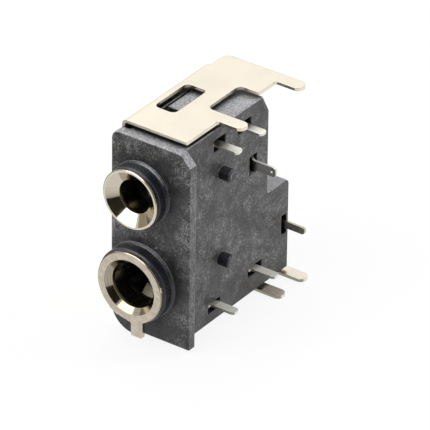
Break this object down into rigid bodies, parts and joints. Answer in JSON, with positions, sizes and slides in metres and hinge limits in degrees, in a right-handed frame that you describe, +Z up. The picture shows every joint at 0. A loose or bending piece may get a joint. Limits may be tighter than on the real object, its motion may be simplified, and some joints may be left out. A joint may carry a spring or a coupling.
{
  "type": "audio jack socket",
  "caption": "Right-angle audio jack socket for a circuit board, a small plug bore above a larger one in one stepped housing with a folded metal shield",
  "frame": {"origin": "on the board face, midway between the two locating pegs", "axes": "+X out of the board face along the solder legs, +Y the way the plugs go in, +Z up from the larger socket to the smaller one"},
  "size_m": [0.0087, 0.0162, 0.0178],
  "materials": {
    "housing_plastic": "matte dark grey moulding filled with glass fibre",
    "bush_nickel": "bright warm nickel plate",
    "ring_nickel": "satin warm nickel plate",
    "shield_nickel": "smooth nickel-plated sheet",
    "contact_plate": "bright plated spring strip"
  },
  "bodies": {
    "root": {"housing": "housing_plastic", "upper_bush": "bush_nickel", "lower_bush": "ring_nickel", "shield": "shield_nickel", "upper_sleeve_contact": "contact_plate", "upper_ring_contact": "contact_plate", "upper_tip_contact": "contact_plate", "lower_sleeve_contact": "contact_plate", "lower_ring_contact": "contact_plate", "lower_tip_contact": "contact_plate"}
  },
  "joints": []
}
